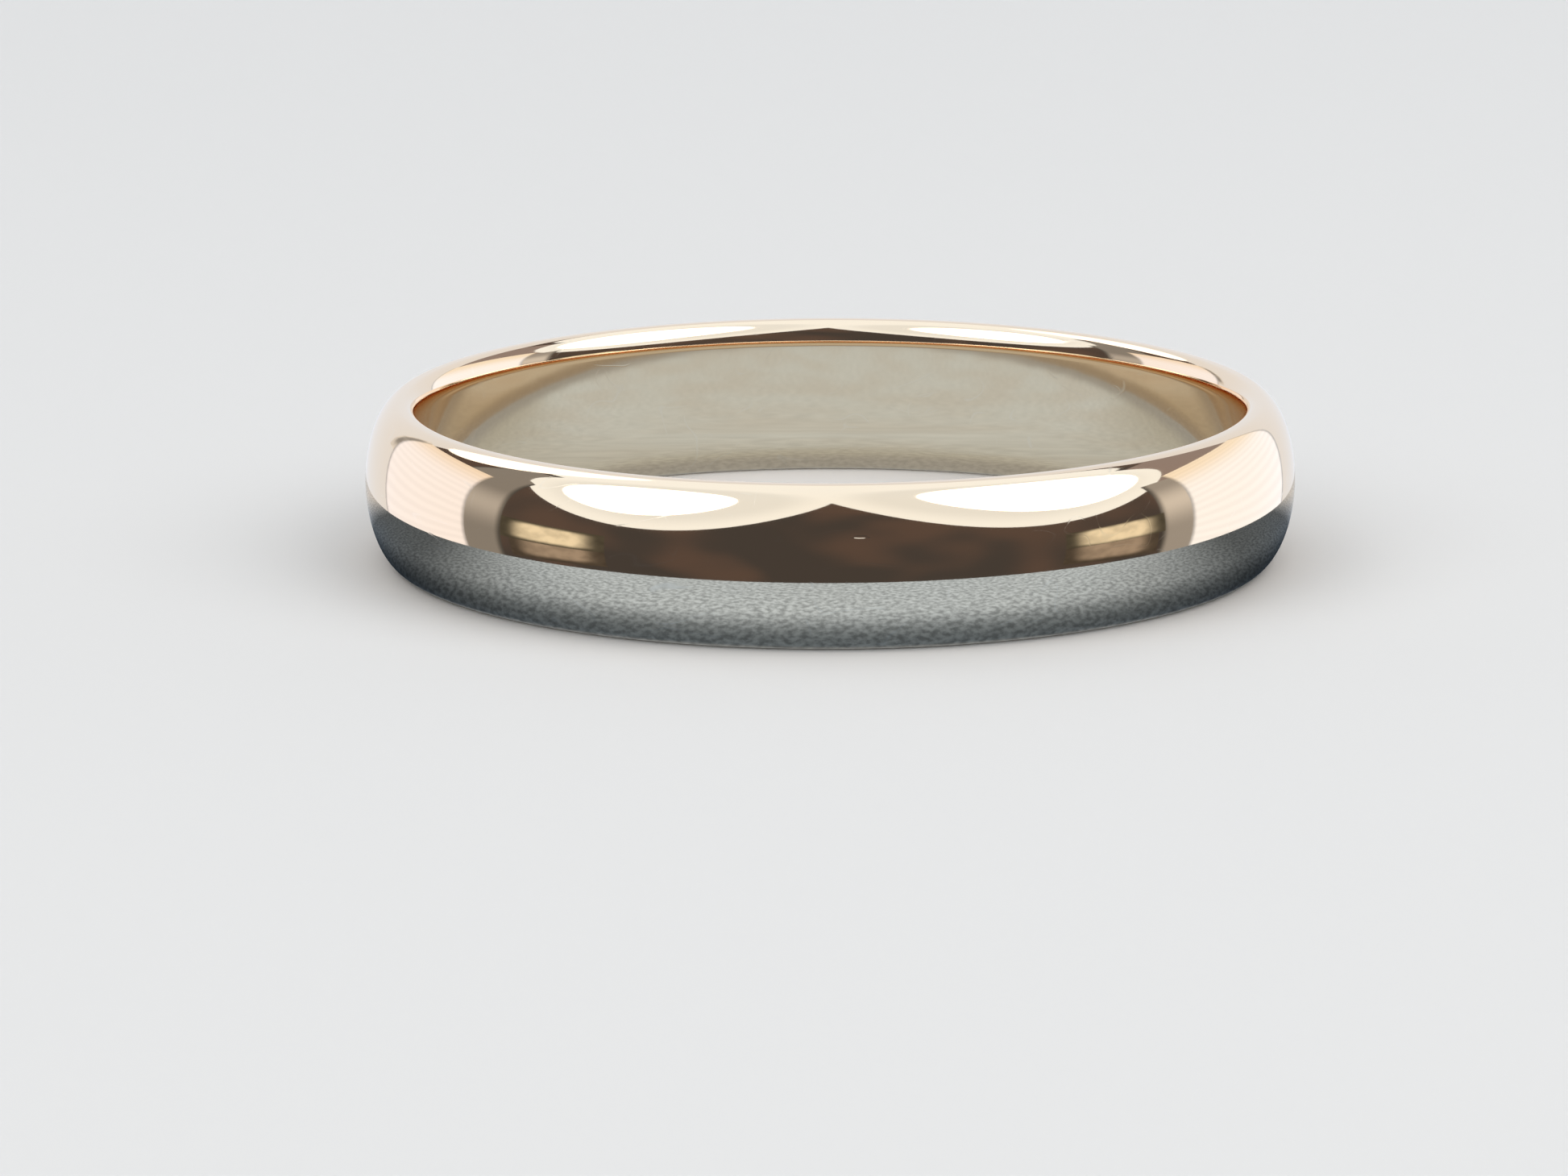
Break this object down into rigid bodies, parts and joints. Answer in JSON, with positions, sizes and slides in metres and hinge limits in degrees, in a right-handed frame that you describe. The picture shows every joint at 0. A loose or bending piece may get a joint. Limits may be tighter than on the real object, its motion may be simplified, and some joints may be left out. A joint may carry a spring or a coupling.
{
  "type": "wedding band",
  "caption": "Plain half-round wedding band of polished yellow gold, with a domed outside and a smooth bore with softened edges.",
  "frame": {"origin": "the middle of the finger hole, on the finger axis and half way up the band's width", "axes": "+Z along the finger axis, square to the two rims; the band is round about it, so X and Y are free and +X to the right with -Y towards the viewer are chosen"},
  "size_m": [0.0192, 0.0192, 0.0032],
  "materials": {
    "gold": "polished"
  },
  "bodies": {
    "root": {"band": "gold"}
  },
  "joints": []
}
